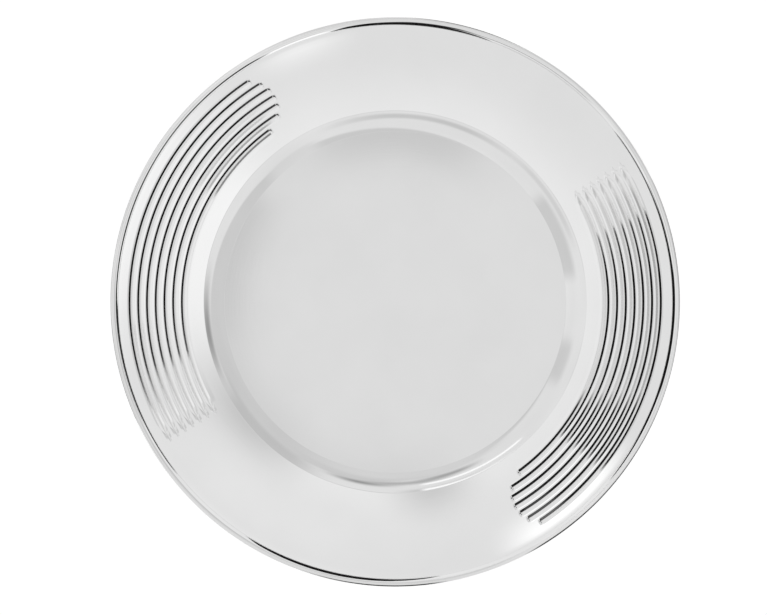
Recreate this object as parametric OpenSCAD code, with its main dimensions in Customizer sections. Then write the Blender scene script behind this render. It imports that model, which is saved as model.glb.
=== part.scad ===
// Charger plate: a polished show plate that stands under a dinner plate.
// The dish is one pressed sheet, with two groups of grooves pressed into its rim.
// A half-round wire is soldered round the edge. Millimetres, +Z up, and the middle
// of one groove group lies on +X.

/* [Dish] */
// Diameter of the whole plate
plate_d = 310; // [290:1:340]
// Thickness of the pressed sheet
sheet_t = 1.2; // [0.8:0.1:1.6]
// Width of the rim, from the well's shoulder to the edge
rim_w = 50.4; // [47:0.1:60]
// Slope of the rim
rim_slope = 8; // [5:0.5:11]
// Steepest slope of the well's wall
wall_slope = 34; // [28:0.5:38]
// Radius of the bend from the floor into the wall, on the upper face
cove_r = 15.5; // [12:0.1:20]
// Radius of the bend from the wall onto the rim, on the upper face
shoulder_r = 6; // [4:0.1:10]

/* [Grooves] */
// Groups of grooves round the rim
group_n = 2; // [1:1:3]
// Grooves in a group
groove_n = 7; // [3:1:7]
// Angle that a group covers
group_span = 91; // [60:1:110]
// Width of a groove at the rim's face
groove_w = 3.4; // [2.6:0.1:3.6]
// Depth of a groove
groove_depth = 0.7; // [0.4:0.05:0.8]
// Step from one groove to the next
groove_pitch = 4.72; // [4.6:0.02:5.2]
// Plain band between the outermost groove and the wire
groove_margin = 5.6; // [2:0.1:8]
// How far the arc of the stepped ends is centred outside the group's middle
tip_arc_shift = 1.3; // [0:0.1:3]
// How far that arc reaches inside the innermost groove
tip_arc_reach = 0.3; // [0.1:0.1:3]

/* [Border wire] */
// Width of the half-round wire
wire_w = 4.1; // [3:0.1:6]
// Height of its crest above the rim's face
wire_h = 1.3; // [0.8:0.1:1.9]

/* [Hidden] */
$fn = 120;

// How far a cutting shape runs past what it cuts
overrun = 5;

plate_r = plate_d / 2;

// Unit directions in the section of radius and height
wall_dir = [sin(wall_slope), -cos(wall_slope)];
rim_up = [-sin(rim_slope), cos(rim_slope)];
rim_out = [cos(rim_slope), sin(rim_slope)];

// The well's wall: a cove and a shoulder that meet on one tangent
wall_run = cove_r * wall_dir.x + shoulder_r * (wall_dir.x + rim_up.x);
floor_r = plate_r - rim_w - wall_run;
cove_c = [floor_r, sheet_t + cove_r];
shoulder_c = cove_c + (cove_r + shoulder_r) * wall_dir;
rim_start = shoulder_c + shoulder_r * rim_up;

// The grooves, counted from the innermost one
function rim_point(r) = rim_start + rim_out * (r - rim_start.x) / rim_out.x;
last_groove_r = plate_r - wire_w - groove_margin - groove_w / 2;
function groove_r(i) = last_groove_r - (groove_n - 1 - i) * groove_pitch;
groove_form_r = arc_r(groove_w, groove_depth);
function groove_c(i) = rim_point(groove_r(i)) + rim_up * (groove_form_r - groove_depth);

// Each groove ends in a ball that is pressed a little fuller than its run
end_ball_share = 1.04;

// The stepped ends lie on an arc that touches the group's first ray, and the
// other ends lie on its last ray
group_half_w = (groove_n - 1) * groove_pitch / 2;
tip_arc_r = group_half_w + tip_arc_shift + tip_arc_reach;
tip_arc_c = last_groove_r - group_half_w + tip_arc_shift;
tip_arc_turn = asin(tip_arc_r / tip_arc_c) - group_span / 2;
function tip_turn(r) = acos((r * r + tip_arc_c * tip_arc_c - tip_arc_r * tip_arc_r) / (2 * r * tip_arc_c));
function end_turn(r) = asin(groove_w / 2 / r);
function groove_start(i) = tip_arc_turn - tip_turn(groove_r(i)) + end_turn(groove_r(i));
function groove_stop(i) = group_span / 2 - end_turn(groove_r(i));

// The wire's section is a low round on a chord of the rim, drawn in even steps
wire_form_r = arc_r(wire_w, wire_h);
wire_c = rim_point(plate_r) - rim_out * wire_w / 2 + rim_up * (wire_h - wire_form_r);
wire_half_turn = 2 * atan(2 * wire_h / wire_w);
wire_step_n = 16;
function wire_turn(k) = rim_slope + 90 + wire_half_turn * (1 - 2 * k / wire_step_n);
function wire_point(k) = wire_c + wire_form_r * [cos(wire_turn(k)), sin(wire_turn(k))];

// Radius of the arc over a chord of width w and height h
function arc_r(w, h) = (w * w / 4 + h * h) / (2 * h);

// Section of everything below the upper face lowered by drop, carried outwards by more
module below_face(drop, more) {
    base = shoulder_c.y - shoulder_r - overrun - more;
    cove_start = cove_c - [0, cove_r + drop];
    wall_mid = cove_c + (cove_r + drop) * wall_dir;
    shoulder_end = shoulder_c + (shoulder_r - drop) * rim_up;
    rim_end = rim_point(plate_r + more) - [0, drop / rim_up.y];
    difference() {
        polygon([
            [-more, base],
            [-more, cove_start.y],
            cove_start,
            wall_mid,
            shoulder_end,
            rim_end,
            [rim_end.x, base]
        ]);
        translate(cove_c)
            circle(cove_r + drop);
    }
    translate(shoulder_c)
        circle(shoulder_r - drop);
}

// One groove path swept by a round of radius r, with round ends
module groove_sweep(i, r) {
    start = groove_start(i);
    stop = groove_stop(i);
    rotate(start)
        rotate_extrude(angle = stop - start)
            translate(groove_c(i))
                circle(r);
    for (turn = [start, stop])
        rotate(turn)
            translate([groove_c(i).x, 0, groove_c(i).y])
                rotate([0, 90, 0])
                    sphere(r * end_ball_share);
}

// Every groove of every group, swept by a round of radius r
module groove_set(r) {
    for (g = [0 : group_n - 1])
        rotate(g * 360 / group_n)
            for (i = [0 : groove_n - 1])
                groove_sweep(i, r);
}

// The dish: floor, well and rim of one sheet, with the grooves pressed through to
// ribs on its underside
module plate_body() {
    color("silver")
        difference() {
            union() {
                rotate_extrude()
                    difference() {
                        below_face(0, 0);
                        below_face(sheet_t, overrun);
                    }
                intersection() {
                    groove_set(groove_form_r + sheet_t);
                    rotate_extrude()
                        below_face(sheet_t / 2, 0);
                }
            }
            groove_set(groove_form_r);
        }
}

// The border: a half-round wire that lies face to face on the rim, flush with its edge
module border_wire() {
    color("gainsboro")
        rotate_extrude()
            polygon([for (k = [0 : wire_step_n]) wire_point(k)]);
}

plate_body();
border_wire();
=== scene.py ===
import math

import bpy
import numpy as np
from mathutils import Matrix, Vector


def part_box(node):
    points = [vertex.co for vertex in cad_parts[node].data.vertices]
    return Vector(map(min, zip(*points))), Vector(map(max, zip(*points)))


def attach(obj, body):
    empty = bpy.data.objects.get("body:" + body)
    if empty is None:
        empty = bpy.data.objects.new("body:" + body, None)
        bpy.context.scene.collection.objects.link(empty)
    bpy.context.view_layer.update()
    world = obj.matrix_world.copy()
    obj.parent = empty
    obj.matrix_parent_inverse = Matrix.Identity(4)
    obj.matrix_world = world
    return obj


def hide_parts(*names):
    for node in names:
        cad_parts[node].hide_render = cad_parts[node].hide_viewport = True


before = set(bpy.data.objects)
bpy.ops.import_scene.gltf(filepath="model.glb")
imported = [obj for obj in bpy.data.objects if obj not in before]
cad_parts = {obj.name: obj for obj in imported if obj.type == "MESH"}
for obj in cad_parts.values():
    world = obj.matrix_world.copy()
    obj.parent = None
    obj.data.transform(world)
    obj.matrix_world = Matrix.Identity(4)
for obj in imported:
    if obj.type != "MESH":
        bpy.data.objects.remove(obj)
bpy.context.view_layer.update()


# The dish: one round of brass sheet, pressed to a flat floor, a coved wall and a rim that
# rises outwards. Two groups of grooves are pressed into the rim, so ribs stand on its
# underside. It is silver plated and buffed on a wheel. Sizes are in millimetres and degrees.
MM = 0.001
plate_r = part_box("plate_body")[1].x / MM
sheet_t = 1.2
floor_r = 93.4
well_rise = 3.6
foot_r = 0.3
foot_slope = math.radians(11)
shoulder_r = 1.2
rim_w = 50.4
rim_slope = math.radians(8)
edge_round = 0.3
rim_sag = 0.28
wire_w = 4.1
seat_w = 1.2 * wire_w

# Rows of the mesh, some of them close to the ends of straight stretches, so that these shade flat
plain_row_n = 24
edge_row_n = 6
shoulder_row_at = 0.05
wall_row_share = 0.05
floor_row_shares = np.array([0.03, 0.3, 0.6, 0.8, 0.93, 0.9995])

# The grooves, in groups round the rim
group_n = 2
groove_n = 7
group_span = 91
groove_w = 3.6
groove_wall = math.radians(33.5)
groove_bottom_r = 1.0
groove_lip_r = 0.3
groove_pitch = 4.72
groove_margin = 5.5
rib_foot_r = 0.5
groove_run_out = 7.0
tip_arc_shift = 1.3
tip_arc_reach = 0.3


def lean(turn):
    """Unit vector of radius and height that leans inwards from straight up by a turn."""
    return np.array([-math.sin(turn), math.cos(turn)])


# The section runs over the upper face in tangent arcs: a sharp foot, a long cove and a shoulder.
# The cove takes the radius that brings the rim to its place.
rim_up = lean(rim_slope)
rim_out = np.array([rim_up[1], -rim_up[0]])
rim_start = np.array([plate_r - rim_w, sheet_t + well_rise])
foot_c = np.array([floor_r, sheet_t + foot_r])
foot_end = foot_c - foot_r * lean(foot_slope)
shoulder_c = rim_start - shoulder_r * rim_up
span = foot_end - shoulder_c
cove_r = (span @ span - shoulder_r**2) / (2 * (shoulder_r - span @ lean(foot_slope)))
cove_c = foot_end + cove_r * lean(foot_slope)
wall_slope = math.atan2(shoulder_c[0] - cove_c[0], cove_c[1] - shoulder_c[1])
well_arcs = [
    # centre, radius (below zero where the sheet lies over the centre), first and last slope, steps
    (foot_c, foot_r, 0, foot_slope, 7),
    (cove_c, cove_r, foot_slope, wall_slope, 18),
    (shoulder_c, -shoulder_r, wall_slope, rim_slope, 11),
]
rim_length = rim_w / rim_out[0]

# Each groove runs from a stepped end, on an arc, to an end on the group's last ray
last_groove_r = plate_r - wire_w - groove_margin - groove_w / 2
groove_r = last_groove_r - groove_pitch * np.arange(groove_n)[::-1]
groove_at = (groove_r - rim_start[0]) / rim_out[0]
group_half_w = (groove_n - 1) * groove_pitch / 2
tip_arc_r = group_half_w + tip_arc_shift + tip_arc_reach
tip_arc_c = last_groove_r - group_half_w + tip_arc_shift
tip_arc_turn = math.degrees(math.asin(tip_arc_r / tip_arc_c)) - group_span / 2
tip_cosine = (groove_r**2 + tip_arc_c**2 - tip_arc_r**2) / (2 * groove_r * tip_arc_c)
end_turn = np.degrees(np.arcsin(groove_w / 2 / groove_r))
groove_start = tip_arc_turn - np.degrees(np.arccos(tip_cosine)) + end_turn
groove_stop = group_span / 2


def pressed(distance, half_w, bottom_r, corner_r):
    """Depth of a groove at a distance from its middle line: round bottom, straight wall, round lip."""
    bottom_end = bottom_r * math.sin(groove_wall)
    corner_start = half_w - corner_r * math.sin(groove_wall)
    corner_drop = corner_r * (1 - math.cos(groove_wall))
    wall_drop = (corner_start - bottom_end) * math.tan(groove_wall)
    bottom = corner_drop + wall_drop - bottom_r * math.cos(groove_wall)
    bottom = bottom + np.sqrt(np.maximum(bottom_r**2 - distance**2, 0))
    wall = corner_drop + (corner_start - distance) * math.tan(groove_wall)
    corner = corner_r - np.sqrt(np.maximum(corner_r**2 - (half_w - distance) ** 2, 0))
    inner = np.where(distance < bottom_end, bottom, wall)
    outer = np.where(distance < half_w, corner, 0)
    return np.where(distance < corner_start, inner, outer)


def press_rows(half_w, bottom_r, corner_r, bottom_steps, corner_steps):
    """Offsets from a groove's middle line for the rows of its bottom, walls and lips."""
    bottom = bottom_r * np.sin(np.linspace(0, groove_wall, bottom_steps))
    corner = half_w - corner_r * np.sin(np.linspace(groove_wall, 0, corner_steps))
    wall = np.interp((wall_row_share, 1 - wall_row_share), (0, 1), (bottom[-1], corner[0]))
    half = np.concatenate([bottom, wall, corner])
    return np.concatenate([-half[:0:-1], half])


def well_rows(drop):
    """Points of the well's wall from the floor to the rim, on the upper face lowered by a drop."""
    rows = []
    for centre, radius, first, last, steps in well_arcs:
        rows += [centre - (radius + drop) * lean(turn) for turn in np.linspace(first, last, steps)[1:]]
    return [np.array([floor_r, sheet_t - drop]), *rows]


def rim_rows(offsets):
    """Distances along the rim, from the shoulder to the edge, with rows close at each groove."""
    lands = (groove_at[1:] + groove_at[:-1]) / 2
    plain = np.append(np.linspace(0, rim_length, plain_row_n), shoulder_row_at)
    clear = np.abs(plain[:, None] - groove_at).min(axis=1) > groove_pitch / 2
    return np.sort(np.concatenate([(groove_at[:, None] + offsets).ravel(), lands, plain[clear]]))


def sagged(at):
    """How far the rim dips below a straight line, between its shoulder and the wire's seat."""
    share = min(at / (rim_length - seat_w), 1)
    return 4 * rim_sag * share * (1 - share)


def groove_field(rows, columns, half_w, bottom_r, corner_r):
    """Depth of the pressed grooves at every row and column of the rim."""
    depth = np.zeros((len(rows), len(columns)))
    for group in range(group_n):
        turn = (columns - group * 360 / group_n + 180) % 360 - 180
        for at, radius, start in zip(groove_at, groove_r, groove_start):
            before_start = np.radians(np.maximum(start - turn, 0)) * radius
            distance = np.hypot(rows[:, None] - at, before_start[None, :])
            before_stop = np.radians(groove_stop - turn) * radius
            lift = groove_depth * np.clip(1 - before_stop / groove_run_out, 0, 1)[None, :]
            depth = np.maximum(depth, pressed(distance, half_w, bottom_r, corner_r) - lift)
    return depth


def fine_columns(coarse_step, fine_step):
    """Angles round the plate in coarse steps, with fine ones at the stepped ends of the grooves."""
    spread = 2 * end_turn.max()
    ends = np.arange(groove_start.min() - spread, groove_start.max() + spread, fine_step)
    fine = np.concatenate([ends + group * 360 / group_n for group in range(group_n)]) % 360
    coarse = np.arange(0, 360, coarse_step)
    near = np.abs((coarse[:, None] - fine + 180) % 360 - 180).min(axis=1) < fine_step
    return np.sort(np.concatenate([coarse[~near], fine]))


def revolve(name, rows, columns, centred):
    """Closed mesh of section rows, each one point or a point for every column, turned round Z."""
    turn = np.radians(columns)
    count = len(columns)
    section = np.array([np.broadcast_to(row, (count, 2)) for row in rows])
    points = np.stack(
        [section[..., 0] * np.cos(turn), section[..., 0] * np.sin(turn), section[..., 1]], axis=-1
    ).reshape(-1, 3)
    here = np.arange(count)
    after = (here + 1) % count
    below = np.arange(len(rows) - 1 if centred else len(rows))[:, None] * count
    above = (below + count) % (len(rows) * count)
    quads = np.stack([below + here, below + after, above + after, above + here], axis=-1).reshape(-1, 4)
    faces = quads.tolist()
    if centred:
        top, bottom = len(points), len(points) + 1
        points = np.vstack([points, [0, 0, rows[0][1]], [0, 0, rows[-1][1]]])
        last = (len(rows) - 1) * count
        faces += [[top, int(a), int(b)] for a, b in zip(after, here)]
        faces += [[bottom, int(a), int(b)] for a, b in zip(last + here, last + after)]
        faces = [face[::-1] for face in faces]
    mesh = bpy.data.meshes.new(name)
    mesh.from_pydata((points * MM).tolist(), [], faces)
    mesh.shade_smooth()
    mesh.validate()
    made = bpy.data.objects.new(name, mesh)
    bpy.context.scene.collection.objects.link(made)
    return made


columns = fine_columns(coarse_step=0.75, fine_step=0.12)
groove_depth = pressed(np.zeros(1), groove_w / 2, groove_bottom_r, groove_lip_r)[0]
rib_half_w = groove_w / 2 + (sheet_t + rib_foot_r - groove_lip_r) * math.tan(groove_wall / 2)
rib_round_r = groove_bottom_r + sheet_t
floor_radii = floor_r * floor_row_shares

groove_rows = press_rows(groove_w / 2, groove_bottom_r, groove_lip_r, bottom_steps=5, corner_steps=5)
top_rows = rim_rows(groove_rows)
top_depth = groove_field(top_rows, columns, groove_w / 2, groove_bottom_r, groove_lip_r)
rib_rows = press_rows(rib_half_w, rib_round_r, rib_foot_r, bottom_steps=5, corner_steps=3)
under_rows = rim_rows(rib_rows)[::-1]
under_depth = groove_field(under_rows, columns, rib_half_w, rib_round_r, rib_foot_r)

# The rows go over the floor, the well and the rim, round the edge, and back along the underside
dish_rows = [np.array([radius, sheet_t]) for radius in floor_radii]
dish_rows += well_rows(0)
first_row = len(dish_rows)
top_rows = top_rows[top_rows < rim_length - edge_round]
dish_rows += [
    rim_start + rim_out * at - rim_up * (sagged(at) + depth[:, None])
    for at, depth in zip(top_rows[1:], top_depth[1:])
]
rim_end = rim_start + rim_out * rim_length
rim_underside_end = rim_end - np.array([0, sheet_t / rim_up[1]])
round_drop = edge_round * (1 + math.tan(rim_slope))
round_turns = np.linspace(math.pi / 2 + rim_slope, 0, edge_row_n)
upper_round_c = rim_end - np.array([edge_round, round_drop])
dish_rows += [
    upper_round_c + edge_round * np.array([math.cos(turn), math.sin(turn)]) for turn in round_turns
]
lower_round_c = rim_underside_end + np.array([-edge_round, round_drop])
dish_rows += [
    lower_round_c + edge_round * np.array([math.cos(turn), -math.sin(turn)]) for turn in round_turns[::-1]
]
inside_edge = under_rows < rim_length - 2 * edge_round
dish_rows += [
    rim_start + rim_out * at - rim_up * (sheet_t + sagged(at) + depth[:, None])
    for at, depth in zip(under_rows[inside_edge][:-1], under_depth[inside_edge][:-1])
]
dish_rows += well_rows(sheet_t)[::-1]
dish_rows += [np.array([radius, 0]) for radius in floor_radii[::-1]]

plate_body = revolve("plate_body_silvered", dish_rows, columns, centred=True)

# How far each point lies down in a groove, as a share of the groove's depth, for the material.
# The last two points are the middles of the floor's faces.
recess_shares = np.zeros((len(dish_rows), len(columns)))
recess_shares[first_row : first_row + len(top_rows) - 1] = top_depth[1 : len(top_rows)] / groove_depth
recess_shares = np.append(recess_shares.ravel(), [0, 0])
plate_body.data.attributes.new("recess", "FLOAT", "POINT").data.foreach_set("value", recess_shares)


def linear(code):
    """Linear colour of an sRGB hex value."""
    parts = [int(code[i : i + 2], 16) / 255 for i in (1, 3, 5)]
    return (*[p / 12.92 if p <= 0.04045 else ((p + 0.055) / 1.055) ** 2.4 for p in parts], 1)


def add_node(tree, kind, inputs=None, **settings):
    """Adds a node with its settings, and links or sets its inputs."""
    made = tree.nodes.new(kind)
    for name, value in settings.items():
        setattr(made, name, value)
    for socket, value in (inputs or {}).items():
        if isinstance(value, bpy.types.NodeSocket):
            tree.links.new(value, made.inputs[socket])
        else:
            made.inputs[socket].default_value = value
    return made


# Silver plate, buffed on a wheel: a near-white mirror with haze from handling, the wheel's fine
# lines round the axis, drawn coarser than they are, and a duller skin where the wheel can't reach.
# Down in the grooves the colour is also darkened as painted shade, along with that skin's duller tone
haze_size = 35 * MM
haze_blur_range = (0.03, 0.05)
line_size = 0.6 * MM
line_depth = 0.0015 * MM
line_stretch = 4.0
line_blur = 0.02
skin_and_shade_share = 0.12
skin_blur = 0.012
silver_plate = bpy.data.materials.new("silver_plate_buffed")
silver_plate.use_nodes = True
silver_tree = silver_plate.node_tree
silver_surface = silver_tree.nodes["Principled BSDF"]
silver_surface.inputs["Metallic"].default_value = 1.0
place = add_node(silver_tree, "ShaderNodeTexCoord").outputs["Object"]
haze = add_node(
    silver_tree,
    "ShaderNodeTexNoise",
    {"Vector": place, "Scale": 1 / haze_size, "Detail": 3.0, "Roughness": 0.5},
).outputs["Fac"]
haze_colour = add_node(
    silver_tree,
    "ShaderNodeMix",
    {"Factor": haze, 6: linear("#FBFBFB"), 7: linear("#F4F4F4")},
    data_type="RGBA",
).outputs[2]
recess = add_node(silver_tree, "ShaderNodeAttribute", attribute_name="recess").outputs["Fac"]
# The colour darkens with the depth of the groove: painted shade in the grooves, together with the unbuffed
# skin's duller tone
skin_and_shade = add_node(silver_tree, "ShaderNodeMath", {0: recess, 1: skin_and_shade_share}, operation="MULTIPLY").outputs[0]
skin_and_shade_colour = add_node(
    silver_tree,
    "ShaderNodeMix",
    {"Factor": skin_and_shade, 6: haze_colour, 7: linear("#C9C8C6")},
    data_type="RGBA",
).outputs[2]
silver_tree.links.new(skin_and_shade_colour, silver_surface.inputs["Base Color"])

# The wheel's lines: a noise that is narrow across the radius and long round the axis
on_plan = add_node(silver_tree, "ShaderNodeVectorMath", {0: place, 1: (1, 1, 0)}, operation="MULTIPLY")
from_axis = add_node(silver_tree, "ShaderNodeVectorMath", {0: on_plan.outputs[0]}, operation="LENGTH")
place_parts = add_node(silver_tree, "ShaderNodeSeparateXYZ", {"Vector": place})
round_axis = add_node(
    silver_tree,
    "ShaderNodeMath",
    {0: place_parts.outputs["Y"], 1: place_parts.outputs["X"]},
    operation="ARCTAN2",
)
line_across = add_node(
    silver_tree,
    "ShaderNodeMath",
    {0: from_axis.outputs["Value"], 1: line_size},
    operation="DIVIDE",
)
line_along = add_node(
    silver_tree,
    "ShaderNodeMath",
    {0: round_axis.outputs[0], 1: line_stretch},
    operation="MULTIPLY",
)
line_place = add_node(
    silver_tree, "ShaderNodeCombineXYZ", {"X": line_across.outputs[0], "Y": line_along.outputs[0]}
)
lines = add_node(
    silver_tree,
    "ShaderNodeTexNoise",
    {"Vector": line_place.outputs[0], "Scale": 1.0, "Detail": 2.0},
).outputs["Fac"]
line_bump = add_node(
    silver_tree, "ShaderNodeBump", {"Height": lines, "Strength": 0.5, "Distance": line_depth}
)
silver_tree.links.new(line_bump.outputs["Normal"], silver_surface.inputs["Normal"])

hazed = add_node(
    silver_tree,
    "ShaderNodeMapRange",
    {"Value": haze, "To Min": haze_blur_range[0], "To Max": haze_blur_range[1]},
).outputs["Result"]
lined = add_node(
    silver_tree, "ShaderNodeMath", {0: lines, 1: line_blur, 2: hazed}, operation="MULTIPLY_ADD"
).outputs[0]
dulled = add_node(
    silver_tree, "ShaderNodeMath", {0: recess, 1: skin_blur, 2: lined}, operation="MULTIPLY_ADD"
).outputs[0]
silver_tree.links.new(dulled, silver_surface.inputs["Roughness"])

plate_body.data.materials.append(silver_plate)
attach(plate_body, "root")
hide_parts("plate_body")


# The border: a half-round brass wire, bent to a ring, soldered on the rim flush with its edge, and
# silver plated with the dish. Filing has left its inner side nearly flat, with the solder's small
# hollow fillet at its foot.
wire_h = 1.25
wire_crest_r = 2.5
flank_r = 13.0
flank_top = math.radians(33)
back_round = 0.25
solder_r = 0.5
solder_row_n = 6
flank_row_n = 8
crest_row_n = 24
back_row_n = 7

# The flank's round and the crest's are tangent where they meet, and the solder's hollow leads from
# the rim up into the flank. Each round is placed by its topmost point.
flank_y = wire_h + (flank_r - wire_crest_r) * (1 - math.cos(flank_top))
flank_foot = math.acos(1 - flank_y / flank_r)
solder_h = solder_r * (1 - math.cos(flank_foot))
flank_start = math.acos(1 - (flank_y - solder_h) / flank_r)
flank_x = flank_r * math.sin(flank_foot)
crest_x = flank_x - (flank_r - wire_crest_r) * math.sin(flank_top)
wire_back = math.asin((wire_w - crest_x - back_round) / (wire_crest_r - back_round))
solder_x = -solder_r * math.tan(flank_foot / 2)


def on_rim(x, y):
    """Point at a distance along the rim from the wire's inner foot, and a height over its face."""
    return rim_end - rim_out * (wire_w - x) + rim_up * y


def on_round(turn, radius, x, y):
    """Point of a round of the wire whose topmost point is x and y, a turn inwards from there."""
    return on_rim(x - radius * math.sin(turn), y - radius * (1 - math.cos(turn)))


back_x = crest_x + (wire_crest_r - back_round) * math.sin(wire_back)
back_y = wire_h - (wire_crest_r - back_round) * (1 - math.cos(wire_back))
wire_rows = [
    on_rim(solder_x + solder_r * math.sin(turn), solder_r * (1 - math.cos(turn)))
    for turn in np.linspace(0, flank_foot, solder_row_n)
]
wire_rounds = [
    # radius, topmost point along and over the rim, first and last turn, rows
    (flank_r, flank_x, flank_y, flank_start, flank_top, flank_row_n),
    (wire_crest_r, crest_x, wire_h, flank_top, -wire_back, crest_row_n),
    (back_round, back_x, back_y, -wire_back, -math.pi / 2, back_row_n),
]
for round_r, top_x, top_y, first_turn, last_turn, row_n in wire_rounds:
    turns = np.linspace(first_turn, last_turn, row_n)[1:]
    wire_rows += [on_round(turn, round_r, top_x, top_y) for turn in turns]
# The wire's underside lies a little inside the sheet
wire_rows += [on_rim(x, -edge_round / 2) for x in (wire_w - edge_round, wire_w / 2)]
border_wire = revolve("border_wire_silvered", wire_rows[::-1], columns, centred=False)
border_wire.data.materials.append(silver_plate)
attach(border_wire, "root")
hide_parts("border_wire")


# The table top: a matt white sheet of paper, far wider than the plate. It is white to the
# camera and to the metal, and its own shading keeps the plate's soft shadow.
paper_half_w = 30000 * MM
paper_gap = 0.1 * MM
paper_glow = 0.78
corners = [(-1, -1), (1, -1), (1, 1), (-1, 1)]
paper_points = [(x * paper_half_w, y * paper_half_w, -paper_gap) for x, y in corners]
paper = bpy.data.meshes.new("table_paper")
paper.from_pydata(paper_points, [], [(0, 1, 2, 3)])
table_top = bpy.data.objects.new("table_paper", paper)
bpy.context.scene.collection.objects.link(table_top)
white_paper = bpy.data.materials.new("paper_matt_white")
white_paper.use_nodes = True
paper_tree = white_paper.node_tree
paper_surface = paper_tree.nodes["Principled BSDF"]
paper_surface.inputs["Base Color"].default_value = linear("#A0A0A0")
paper_surface.inputs["Roughness"].default_value = 1.0
paper_surface.inputs["Specular IOR Level"].default_value = 0.0
paper_surface.inputs["Emission Color"].default_value = linear("#FFFFFF")
ray = add_node(paper_tree, "ShaderNodeLightPath").outputs
seen_or_mirrored = add_node(
    paper_tree,
    "ShaderNodeMath",
    {0: ray["Is Camera Ray"], 1: ray["Is Glossy Ray"]},
    operation="MAXIMUM",
).outputs[0]
seen_at_all = add_node(
    paper_tree,
    "ShaderNodeMath",
    {0: seen_or_mirrored, 1: ray["Is Transmission Ray"]},
    operation="MAXIMUM",
).outputs[0]
glow = add_node(
    paper_tree, "ShaderNodeMath", {0: seen_at_all, 1: paper_glow}, operation="MULTIPLY"
).outputs[0]
paper_tree.links.new(glow, paper_surface.inputs["Emission Strength"])
table_top.data.materials.append(white_paper)


# The camera looks straight down. The plate's centre lies a little right of and above the
# middle of the picture, and the plate is turned against the picture's own axes. The camera's
# rise is in metres, and the width of its sensor in millimetres.
picture_w = 767
picture_h = 615
plate_centre_px = (395.2, 301.9)
plate_radius_px = 284.8
picture_turn = math.radians(14.5)
camera_rise = 2.0
sensor_w = 36.0
pixel = plate_r * MM / plate_radius_px
right = np.array([math.cos(picture_turn), math.sin(picture_turn)])
up = np.array([-right[1], right[0]])
shift_right = picture_w / 2 - plate_centre_px[0]
shift_up = plate_centre_px[1] - picture_h / 2
aim = (right * shift_right + up * shift_up) * pixel
lens = bpy.data.cameras.new("overhead_camera")
lens.sensor_width = sensor_w
lens.lens = sensor_w * camera_rise / (picture_w * pixel)
camera = bpy.data.objects.new("overhead_camera", lens)
camera.location = (*aim, rim_end[1] * MM + camera_rise)
camera.rotation_euler = (0, 0, picture_turn)
bpy.context.scene.collection.objects.link(camera)
bpy.context.scene.camera = camera


# The studio: a white tent lit from all round, with soft panels and dark flags hung in it, which
# the polished metal mirrors. Each is set by azimuth and elevation in degrees, in the picture's
# own turn.
tent_tone = 0.85
cloud_share = 0.06
cloud_scale = 3.0
belt_tone = 0.81
belt_elevation = 50
belt_half_height = 20
belt_soft = 16
studio = [
    # azimuth, half width, soft edge, elevation, half height, soft edge, tone

    # patches and streaks that the well's wall mirrors
    (202, 14, 6, 67, 11.5, 8, 0.64),
    (160, 7, 6, 67, 11.5, 8, 0.66),
    (92, 32, 30, 67, 5, 5, 0.705),
    (306, 9, 8, 66, 9, 4, 0.74),
    (79, 8, 16, 53.5, 2, 5, 0.28),
    (93, 12, 16, 56, 2, 5, 0.45),
    (107, 8, 12, 58, 2, 5, 0.38),
    (9, 12, 24, 46, 4, 7, 0.33),
    (260, 24, 30, 50, 3, 4, 0.62),
    (215, 14, 14, 49, 3, 4, 0.68),
    (45, 18, 16, 48, 7, 6, 0.57),
    (105, 12, 10, 43, 3, 4, 0.60),

    # rings all round, near the zenith
    (0, 200, 1, 78.5, 4, 2, 0.81),
    (0, 200, 1, 81, 2.5, 4, 0.90),
    (0, 200, 1, 90, 5, 3, 0.785),

    # shade that the outer part of the floor mirrors
    (86, 27, 24, 85.3, 2.3, 0.5, 0.61),
    (165, 28, 8, 85.375, 2.375, 0.45, 0.60),
    (215, 30, 50, 85.325, 2.325, 0.6, 0.65),
    (270, 18, 30, 85.3, 2.3, 0.5, 0.70),

    # light and shade on the rim
    (342, 24, 26, 78.5, 4, 4, 0.99),
    (38, 16, 30, 81, 2.5, 3, 0.575),
    (100, 9, 20, 81.5, 2.5, 3, 0.58),
    (60, 25, 30, 77, 1.5, 3, 0.86),
    (291, 8, 14, 74.5, 1.5, 2, 1.05),
    (130, 14, 14, 74.5, 2, 2, 1.2),

    # panels and dark flags that the walls and the ends of the grooves mirror
    (167, 46, 10, 34, 8, 6, 0.92),
    (246, 20, 4, 18, 4, 2, 0.02),
    (262, 7, 6, 27, 12, 4, 0.02),
    (174, 13, 4, 22, 10, 2, 0.02),
    (291, 6, 6, 12.5, 3, 2, 0.2),
    (137, 12, 4, 33.5, 1.5, 1, 0.05),

    # low panels that the wire mirrors
    (330, 31, 4, 0, 5, 4, 1.0),
    (234, 14, 10, 0, 5, 4, 0.6),
    (291, 7, 4, 3, 9, 4, 1.1),
]
world = bpy.data.worlds.new("studio_tent")
bpy.context.scene.world = world
world.use_nodes = True
world_tree = world.node_tree
toward = add_node(world_tree, "ShaderNodeTexCoord").outputs["Generated"]
turned = add_node(
    world_tree,
    "ShaderNodeVectorRotate",
    {"Vector": toward, "Angle": -picture_turn},
    rotation_type="Z_AXIS",
).outputs[0]
parts = add_node(world_tree, "ShaderNodeSeparateXYZ", {"Vector": turned}).outputs
azimuth_turn = add_node(world_tree, "ShaderNodeMath", {0: parts["Y"], 1: parts["X"]}, operation="ARCTAN2")
azimuth = add_node(
    world_tree, "ShaderNodeMath", {0: azimuth_turn.outputs[0]}, operation="DEGREES"
).outputs[0]
elevation_turn = add_node(world_tree, "ShaderNodeMath", {0: parts["Z"]}, operation="ARCSINE")
elevation = add_node(
    world_tree, "ShaderNodeMath", {0: elevation_turn.outputs[0]}, operation="DEGREES"
).outputs[0]


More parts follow.
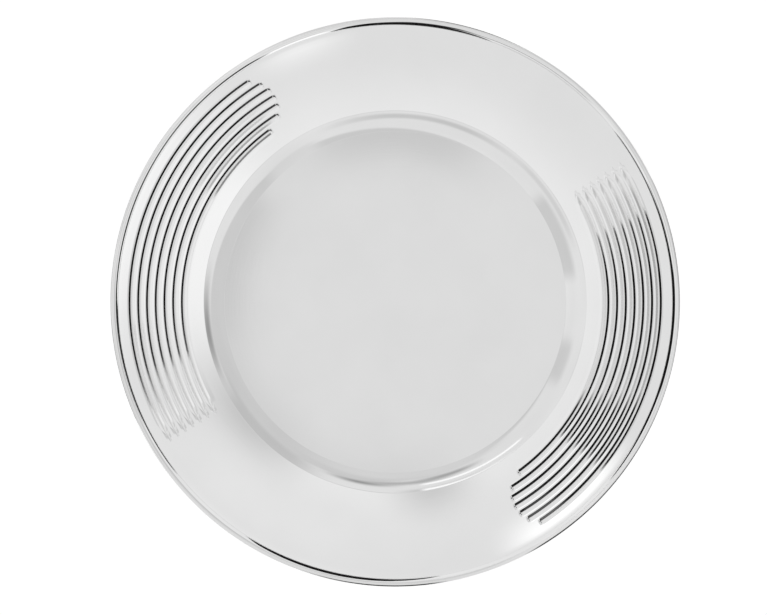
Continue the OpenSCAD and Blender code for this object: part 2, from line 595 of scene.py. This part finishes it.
def inside(angle, middle, half, soft):
    """1 where an angle lies within half of the middle, with a soft edge, and 0 outside."""
    offset = add_node(world_tree, "ShaderNodeMath", {0: angle, 1: middle}, operation="SUBTRACT").outputs[0]
    wrapped = add_node(world_tree, "ShaderNodeMath", {0: offset, 1: 180.0, 2: -180.0}, operation="WRAP")
    away = add_node(world_tree, "ShaderNodeMath", {0: wrapped.outputs[0]}, operation="ABSOLUTE").outputs[0]
    ends = {"From Min": half - soft / 2, "From Max": half + soft / 2, "To Min": 1.0, "To Max": 0.0}
    return add_node(
        world_tree,
        "ShaderNodeMapRange",
        {"Value": away, **ends},
        interpolation_type="SMOOTHSTEP",
    ).outputs["Result"]


# A round grey card hangs over the plate, off to one side. Its place and size are shares of its
# height, and its reach from the zenith cuts off its twin below the horizon.
ceiling_azimuth = 20
ceiling_offset = 0.24
ceiling_radius = 0.56
ceiling_soft = 0.07
ceiling_tone = 0.64
ceiling_reach = 80
ceiling_reach_soft = 10
zenith = 90
on_ceiling = add_node(world_tree, "ShaderNodeVectorMath", {0: turned, 1: parts["Z"]}, operation="DIVIDE")
ceiling_turn = math.radians(ceiling_azimuth)
ceiling_middle = (ceiling_offset * math.cos(ceiling_turn), ceiling_offset * math.sin(ceiling_turn), 1)
from_middle = add_node(
    world_tree,
    "ShaderNodeVectorMath",
    {0: on_ceiling.outputs[0], 1: ceiling_middle},
    operation="DISTANCE",
).outputs["Value"]
in_round = inside(from_middle, 0, ceiling_radius, ceiling_soft)
in_reach = inside(elevation, zenith, ceiling_reach, ceiling_reach_soft)
ceiling_card = add_node(world_tree, "ShaderNodeMath", {0: in_round, 1: in_reach}, operation="MULTIPLY")
belt = inside(elevation, belt_elevation, belt_half_height, belt_soft)

# Each thing that hangs in the tent covers what was hung before it
covers_and_tones = [(belt, belt_tone), (ceiling_card.outputs[0], ceiling_tone)]
for middle, half_width, soft_width, height, half_height, soft_height, panel_tone in studio:
    in_width = inside(azimuth, middle, half_width, soft_width)
    in_height = inside(elevation, height, half_height, soft_height)
    panel = add_node(world_tree, "ShaderNodeMath", {0: in_width, 1: in_height}, operation="MULTIPLY")
    covers_and_tones.append((panel.outputs[0], panel_tone))
studio_tone = tent_tone
for cover, tone in covers_and_tones:
    hung = add_node(world_tree, "ShaderNodeMix", {0: cover, 2: studio_tone, 3: tone}, data_type="FLOAT")
    studio_tone = hung.outputs[0]

# Faint clouds, as of cloth that is not lit quite evenly
cloud = add_node(world_tree, "ShaderNodeTexNoise", {"Vector": toward, "Scale": cloud_scale, "Detail": 1.0})
cloud_ends = {"From Min": 0.25, "From Max": 0.75, "To Min": 1 - cloud_share, "To Max": 1.0}
clouded = add_node(world_tree, "ShaderNodeMapRange", {"Value": cloud.outputs["Fac"], **cloud_ends})
clouded_tone = add_node(
    world_tree, "ShaderNodeMath", {0: studio_tone, 1: clouded.outputs["Result"]}, operation="MULTIPLY"
).outputs[0]
world_tree.links.new(clouded_tone, world_tree.nodes["Background"].inputs["Color"])


# Cards that stand in arcs round the plate and show only in the metal: black ones with slanting or
# rounded tops, whose edges end the dark lines of the grooves and the wire, and two strip lights.
# Distances and heights are in metres, and azimuths in degrees, in the picture's own turn.
card_columns = 61
card_rows = 21
cards = [
    # name, distance, tone, soft share of its height, and then its stations, each with
    # azimuth, cover, foot and head
    ("black_card", 0.235, 0.01, 0.25, [
        (297, 0, 0.045, 0.12), (300, 1, 0.045, 0.13), (302, 1, 0.045, 0.20), (308, 1, 0.045, 0.20),
        (314, 1, 0.045, 0.15), (320, 1, 0.045, 0.13), (345, 1, 0.045, 0.064), (350, 0, 0.045, 0.06),
    ]),
    ("left_card", 0.60, 0.01, 0.05, [
        (299, 0, 0.095, 0.25), (301, 0.8, 0.095, 0.25), (309, 0.8, 0.095, 0.25), (311, 1, 0.095, 0.25),
        (358, 1, 0.095, 0.19), (364, 1, 0.01, 0.168), (368, 1, 0.01, 0.160), (373, 1, 0.01, 0.154),
        (376, 1, 0.01, 0.143), (383, 1, 0.01, 0.136), (386, 1, 0.01, 0.12), (396, 1, 0.01, 0.10),
        (400, 1, 0.01, 0.02),
    ]),
    ("right_card", 0.60, 0.01, 0.05, [
        (140, 0, 0.11, 0.25), (142, 1, 0.11, 0.25), (150, 1, 0.062, 0.25), (156, 1, 0.03, 0.26),
        (162, 1, 0.005, 0.30), (184, 1, 0.005, 0.30), (190, 1, 0.005, 0.170), (193, 1, 0.005, 0.160),
        (198, 1, 0.005, 0.156), (203, 1, 0.005, 0.12), (216, 1, 0.005, 0.10), (220, 1, 0.005, 0.02),
    ]),
    ("back_card", 0.60, 0.01, 0.05, [
        (57, 1, 0.005, 0.02), (60, 1, 0.005, 0.164), (66, 1, 0.005, 0.34), (72, 1, 0.005, 0.42),
        (78, 1, 0.005, 0.42), (84, 1, 0.005, 0.34), (90, 1, 0.005, 0.164), (96, 1, 0.005, 0.11),
        (101, 1, 0.005, 0.02),
    ]),
    ("front_card", 0.60, 0.01, 0.05, [
        (248, 1, 0.005, 0.02), (252, 1, 0.005, 0.10), (258, 1, 0.005, 0.164), (264, 1, 0.005, 0.34),
        (270, 1, 0.005, 0.45), (276, 1, 0.005, 0.40), (282, 1, 0.005, 0.116), (285, 1, 0.005, 0.02),
    ]),
    ("right_head_card", 0.40, 0.01, 0.10, [
        (332, 0, 0.13, 0.20), (335, 1, 0.13, 0.20), (384, 1, 0.13, 0.20), (387, 0, 0.13, 0.20),
    ]),
    ("left_head_card", 0.40, 0.01, 0.10, [
        (183, 0, 0.13, 0.20), (186, 1, 0.13, 0.20), (204, 1, 0.13, 0.20), (206, 0, 0.13, 0.20),
    ]),
    ("upper_strip", 0.30, 1.08, 0.3, [
        (97, 0, 0.489, 0.543), (99, 1, 0.489, 0.543), (131, 1, 0.465, 0.515), (133, 0, 0.465, 0.515),
    ]),
    ("lower_strip", 0.30, 1.08, 0.3, [
        (97, 0, 0.382, 0.424), (99, 1, 0.382, 0.424), (134, 1, 0.362, 0.400), (136, 0, 0.362, 0.400),
    ]),
    ("low_card", 0.235, 0.01, 0.3, [
        (250, 0, 0.04, 0.14), (264, 1, 0.04, 0.15), (277, 1, 0.04, 0.16), (281, 0, 0.04, 0.16),
    ]),
]
for name, distance, card_tone, soft, stations in cards:
    station_turns, station_covers, station_feet, station_heads = zip(*stations)
    card_turns = np.linspace(station_turns[0], station_turns[-1], card_columns)
    height_shares = np.linspace(0, 1, card_rows)
    feet = np.interp(card_turns, station_turns, station_feet)
    heads = np.interp(card_turns, station_turns, station_heads)
    card_points = [
        (
            distance * math.cos(math.radians(turn) + picture_turn),
            distance * math.sin(math.radians(turn) + picture_turn),
            foot + (head - foot) * share,
        )
        for turn, foot, head in zip(card_turns, feet, heads)
        for share in height_shares
    ]
    card_faces = [
        (i * card_rows + j, i * card_rows + j + 1, (i + 1) * card_rows + j + 1, (i + 1) * card_rows + j)
        for i in range(card_columns - 1)
        for j in range(card_rows - 1)
    ]
    card_mesh = bpy.data.meshes.new(name)
    card_mesh.from_pydata(card_points, [], card_faces)
    edge_fade = np.interp(height_shares, (0, soft, 1 - soft, 1), (0, 1, 1, 0))
    covers = np.outer(np.interp(card_turns, station_turns, station_covers), edge_fade)
    card_mesh.attributes.new("cover", "FLOAT", "POINT").data.foreach_set("value", covers.ravel())
    paint = bpy.data.materials.new(name + "_paint")
    paint.use_nodes = True
    paint_tree = paint.node_tree
    paint_tree.nodes.remove(paint_tree.nodes["Principled BSDF"])
    shine = add_node(paint_tree, "ShaderNodeEmission", {"Strength": card_tone}).outputs[0]
    clear = add_node(paint_tree, "ShaderNodeBsdfTransparent").outputs[0]
    cover = add_node(paint_tree, "ShaderNodeAttribute", attribute_name="cover").outputs["Fac"]
    painted = add_node(paint_tree, "ShaderNodeMixShader", {0: cover, 1: clear, 2: shine}).outputs[0]
    paint_tree.links.new(painted, paint_tree.nodes["Material Output"].inputs["Surface"])
    card_mesh.materials.append(paint)
    card = bpy.data.objects.new(name, card_mesh)
    bpy.context.scene.collection.objects.link(card)
    card.visible_camera = False
    card.visible_diffuse = False
    card.visible_shadow = False

bpy.context.scene.view_settings.view_transform = "Standard"
